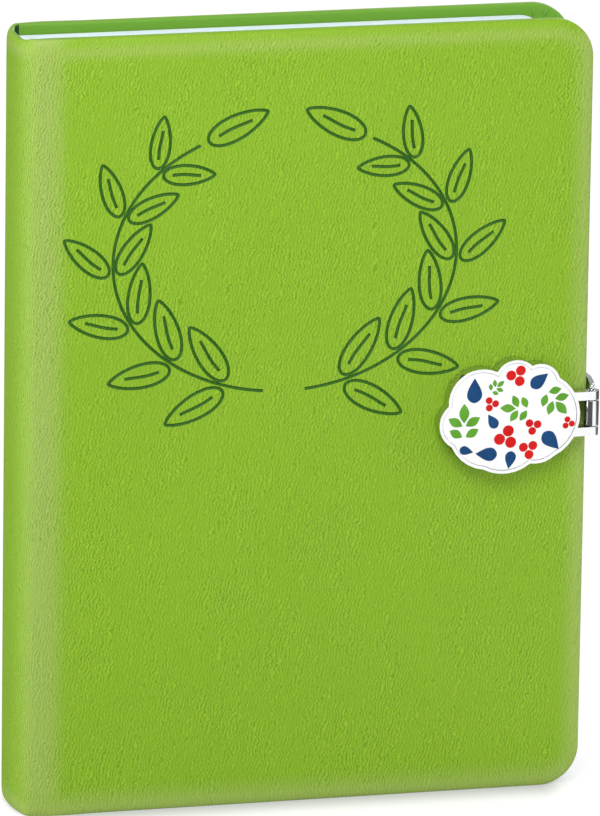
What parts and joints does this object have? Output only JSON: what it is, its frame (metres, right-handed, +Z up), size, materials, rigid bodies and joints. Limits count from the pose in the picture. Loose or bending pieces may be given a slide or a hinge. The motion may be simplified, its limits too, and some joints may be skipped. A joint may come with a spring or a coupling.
{
  "type": "magnetic closure journal",
  "caption": "Hardback journal in a padded leatherette case with rounded corners, closed by an enamelled clasp whose hinged strap wraps round the fore-edge and holds by a magnet.",
  "frame": {"origin": "on the ground under the middle of the whole object's box, journal standing on its tail edge", "axes": "+Z up the cover, +X from the spine to the fore-edge, -Y out of the front cover"},
  "size_m": [0.1622, 0.0358, 0.216],
  "materials": {
    "leatherette": "lime green, fine pebbled grain, satin",
    "foam": "white foam padding",
    "board": "grey binder's board",
    "endpaper": "plain endpaper",
    "page_paper": "white writing paper",
    "mull": "open gauze lining",
    "chrome": "bright plated casting",
    "steel": "plain steel",
    "enamel": "white enamel, printed"
  },
  "bodies": {
    "journal_body": {"spine_leatherette": "leatherette", "spine_card": "board", "spine_mull": "mull", "page_section_01": "page_paper", "page_section_02": "page_paper", "page_section_03": "page_paper", "page_section_04": "page_paper", "page_section_05": "page_paper", "page_section_06": "page_paper", "page_section_07": "page_paper", "page_section_08": "page_paper", "page_section_09": "page_paper", "page_section_10": "page_paper", "back_flyleaf": "endpaper"},
    "front_cover": {"front_cover_leatherette": "leatherette", "front_cover_foam": "foam", "front_cover_board": "board", "front_pastedown": "endpaper", "clasp_plate": "chrome", "clasp_enamel": "enamel", "clasp_pin": "chrome", "left_post_washer": "steel", "right_post_washer": "steel"},
    "back_cover": {"back_cover_leatherette": "leatherette", "back_cover_foam": "foam", "back_cover_board": "board", "back_pastedown": "endpaper", "clasp_catch": "chrome", "upper_rivet": "chrome", "lower_rivet": "chrome", "upper_rivet_washer": "steel", "lower_rivet_washer": "steel"},
    "front_flyleaf": {"front_flyleaf": "endpaper"},
    "turning_leaf_1": {"turning_leaf_1": "page_paper"},
    "turning_leaf_2": {"turning_leaf_2": "page_paper"},
    "turning_leaf_3": {"turning_leaf_3": "page_paper"},
    "clasp_strap": {"clasp_strap": "chrome", "clasp_magnet": "steel"}
  },
  "joints": [
    {"name": "front_cover_hinge", "type": "hinge", "parent": "journal_body", "child": "front_cover", "pos_m": [-0.07545, -0.01325, 0.1067], "axis": [0, 0, -1], "range_deg": [0, 175]},
    {"name": "back_cover_hinge", "type": "hinge", "parent": "journal_body", "child": "back_cover", "pos_m": [-0.07545, 0.01325, 0.1067], "axis": [0, 0, 1], "range_deg": [0, 175]},
    {"name": "front_flyleaf_hinge", "type": "hinge", "parent": "journal_body", "child": "front_flyleaf", "pos_m": [-0.0717, -0.0089, 0.1067], "axis": [0, 0, -1], "range_deg": [0, 112]},
    {"name": "turning_leaf_1_hinge", "type": "hinge", "parent": "journal_body", "child": "turning_leaf_1", "pos_m": [-0.0712, -0.0086, 0.1067], "axis": [0, 0, -1], "range_deg": [0, 84]},
    {"name": "turning_leaf_2_hinge", "type": "hinge", "parent": "journal_body", "child": "turning_leaf_2", "pos_m": [-0.0707, -0.0083, 0.1067], "axis": [0, 0, -1], "range_deg": [0, 56]},
    {"name": "turning_leaf_3_hinge", "type": "hinge", "parent": "journal_body", "child": "turning_leaf_3", "pos_m": [-0.0702, -0.008, 0.1067], "axis": [0, 0, -1], "range_deg": [0, 28]},
    {"name": "clasp_strap_hinge", "type": "hinge", "parent": "front_cover", "child": "clasp_strap", "pos_m": [0.07895, -0.01565, 0.1067], "axis": [0, 0, -1], "range_deg": [0, 175]}
  ],
  "couplings": [
    {"joint": "front_flyleaf_hinge", "follows": "front_cover_hinge", "ratio": 0.64},
    {"joint": "turning_leaf_1_hinge", "follows": "front_cover_hinge", "ratio": 0.48},
    {"joint": "turning_leaf_2_hinge", "follows": "front_cover_hinge", "ratio": 0.32},
    {"joint": "turning_leaf_3_hinge", "follows": "front_cover_hinge", "ratio": 0.16}
  ]
}
